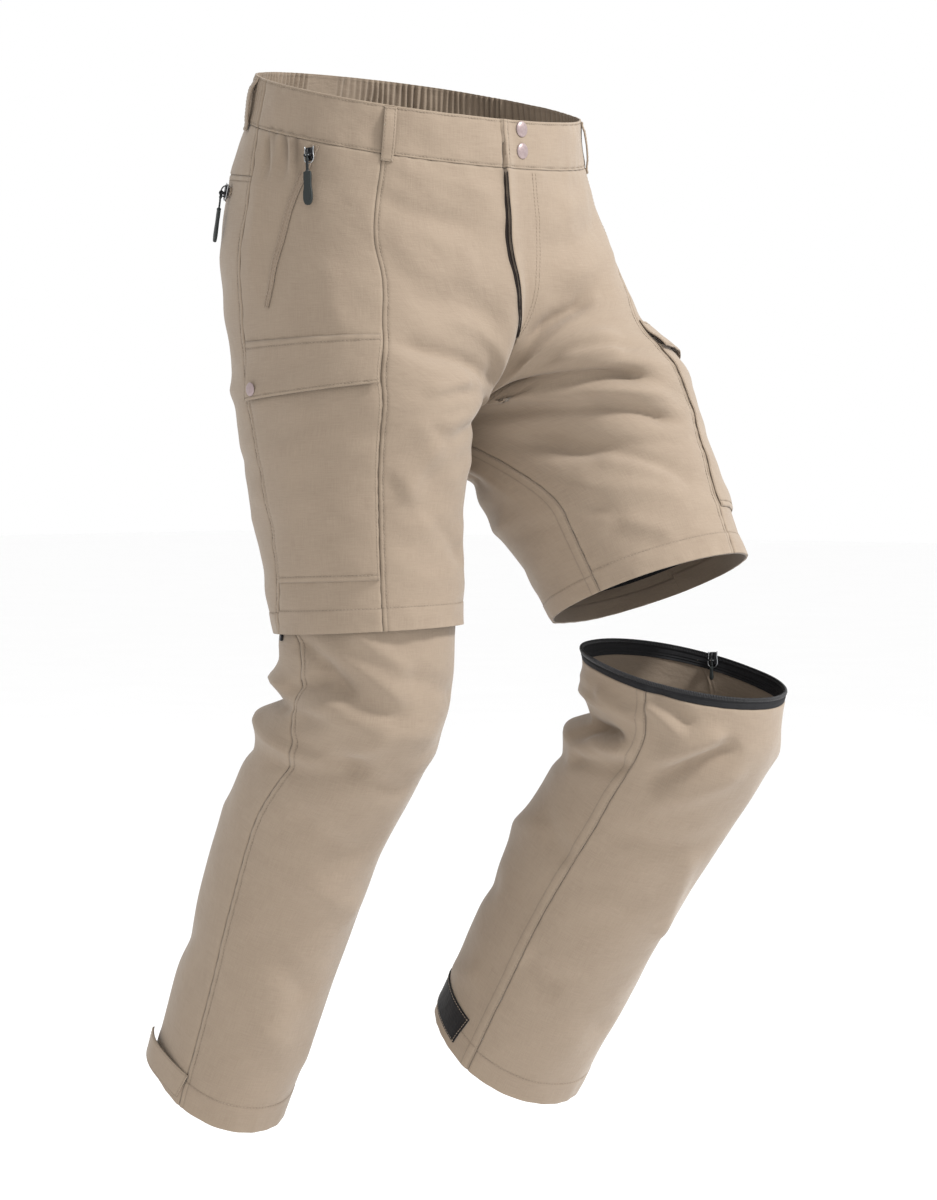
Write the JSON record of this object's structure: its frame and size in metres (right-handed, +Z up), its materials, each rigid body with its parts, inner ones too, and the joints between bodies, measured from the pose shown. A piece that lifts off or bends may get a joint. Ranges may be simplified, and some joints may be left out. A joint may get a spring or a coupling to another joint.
{
  "type": "convertible zip-off trousers",
  "caption": "Hollow walking trousers with zip-off lower legs, one lower leg taken off below its shorts leg.",
  "frame": {"origin": "the middle of the waistband's top opening, where the wearer's waist holds the trousers up", "axes": "+Z up, -Y the way the wearer faces, -X the wearer's right"},
  "size_m": [0.4379, 0.515, 0.993],
  "materials": {
    "cloth": "khaki woven cloth with a slight sheen",
    "pocket_welt": "khaki woven welt",
    "zip_tape": "black woven zip tape and coil",
    "hook_and_loop": "black loop pile",
    "snap": "satin pinkish grey",
    "slider": "satin black with a bare edge",
    "pull": "matt black moulded grip"
  },
  "bodies": {
    "garment": {"back_left": "cloth", "back_right": "cloth", "band_back": "cloth", "band_front_left": "cloth", "band_front_right": "cloth", "cargo_left": "cloth", "cargo_right": "cloth", "flap_left": "cloth", "flap_right": "cloth", "flap_snap_left": "snap", "flap_snap_right": "snap", "front_left": "cloth", "front_right": "cloth", "hem_tab_left": "cloth", "hem_tab_right": "cloth", "leg_slider_left": "slider", "leg_slider_right": "zip_tape", "leg_zip_left_lower": "zip_tape", "leg_zip_left_upper": "zip_tape", "leg_zip_right": "zip_tape", "loop_centre_back": "cloth", "loop_front_left": "cloth", "loop_front_right": "cloth", "loop_patch_left": "hook_and_loop", "loop_patch_right": "hook_and_loop", "loop_side_left": "cloth", "loop_side_right": "cloth", "lower_back_left": "cloth", "lower_back_right": "cloth", "lower_front_left": "cloth", "lower_front_right": "cloth", "pocket_zip_back": "pocket_welt", "pocket_zip_left": "pocket_welt", "pocket_zip_right": "pocket_welt", "side_left": "cloth", "side_right": "cloth", "slider_back": "slider", "slider_left": "slider", "slider_right": "slider", "waist_snap_lower": "snap", "waist_snap_upper": "snap", "yoke_left": "cloth", "yoke_right": "cloth"},
    "pull_right": {"pull_right": "pull"},
    "pull_left": {"pull_left": "pull"},
    "pull_back": {"pull_back": "pull"},
    "leg_pull_left": {"leg_pull_left": "pull"}
  },
  "joints": [
    {"name": "pull_right_hinge", "type": "hinge", "parent": "garment", "child": "pull_right", "pos_m": [-0.18246, -0.03066, -0.06341], "axis": [-0.3157, 0.9435, -0.1006], "range_deg": [0, 150]},
    {"name": "pull_left_hinge", "type": "hinge", "parent": "garment", "child": "pull_left", "pos_m": [0.18243, -0.03206, -0.06323], "axis": [-0.3245, -0.9326, 0.158], "range_deg": [0, 150]},
    {"name": "pull_back_hinge", "type": "hinge", "parent": "garment", "child": "pull_back", "pos_m": [-0.1741, 0.08664, -0.09261], "axis": [0.546, 0.8133, 0.2008], "range_deg": [0, 150]},
    {"name": "leg_pull_left_hinge", "type": "hinge", "parent": "garment", "child": "leg_pull_left", "pos_m": [0.22058, -0.17116, -0.52691], "axis": [-0.3921, 0.9194, -0.0312], "range_deg": [0, 150]}
  ]
}
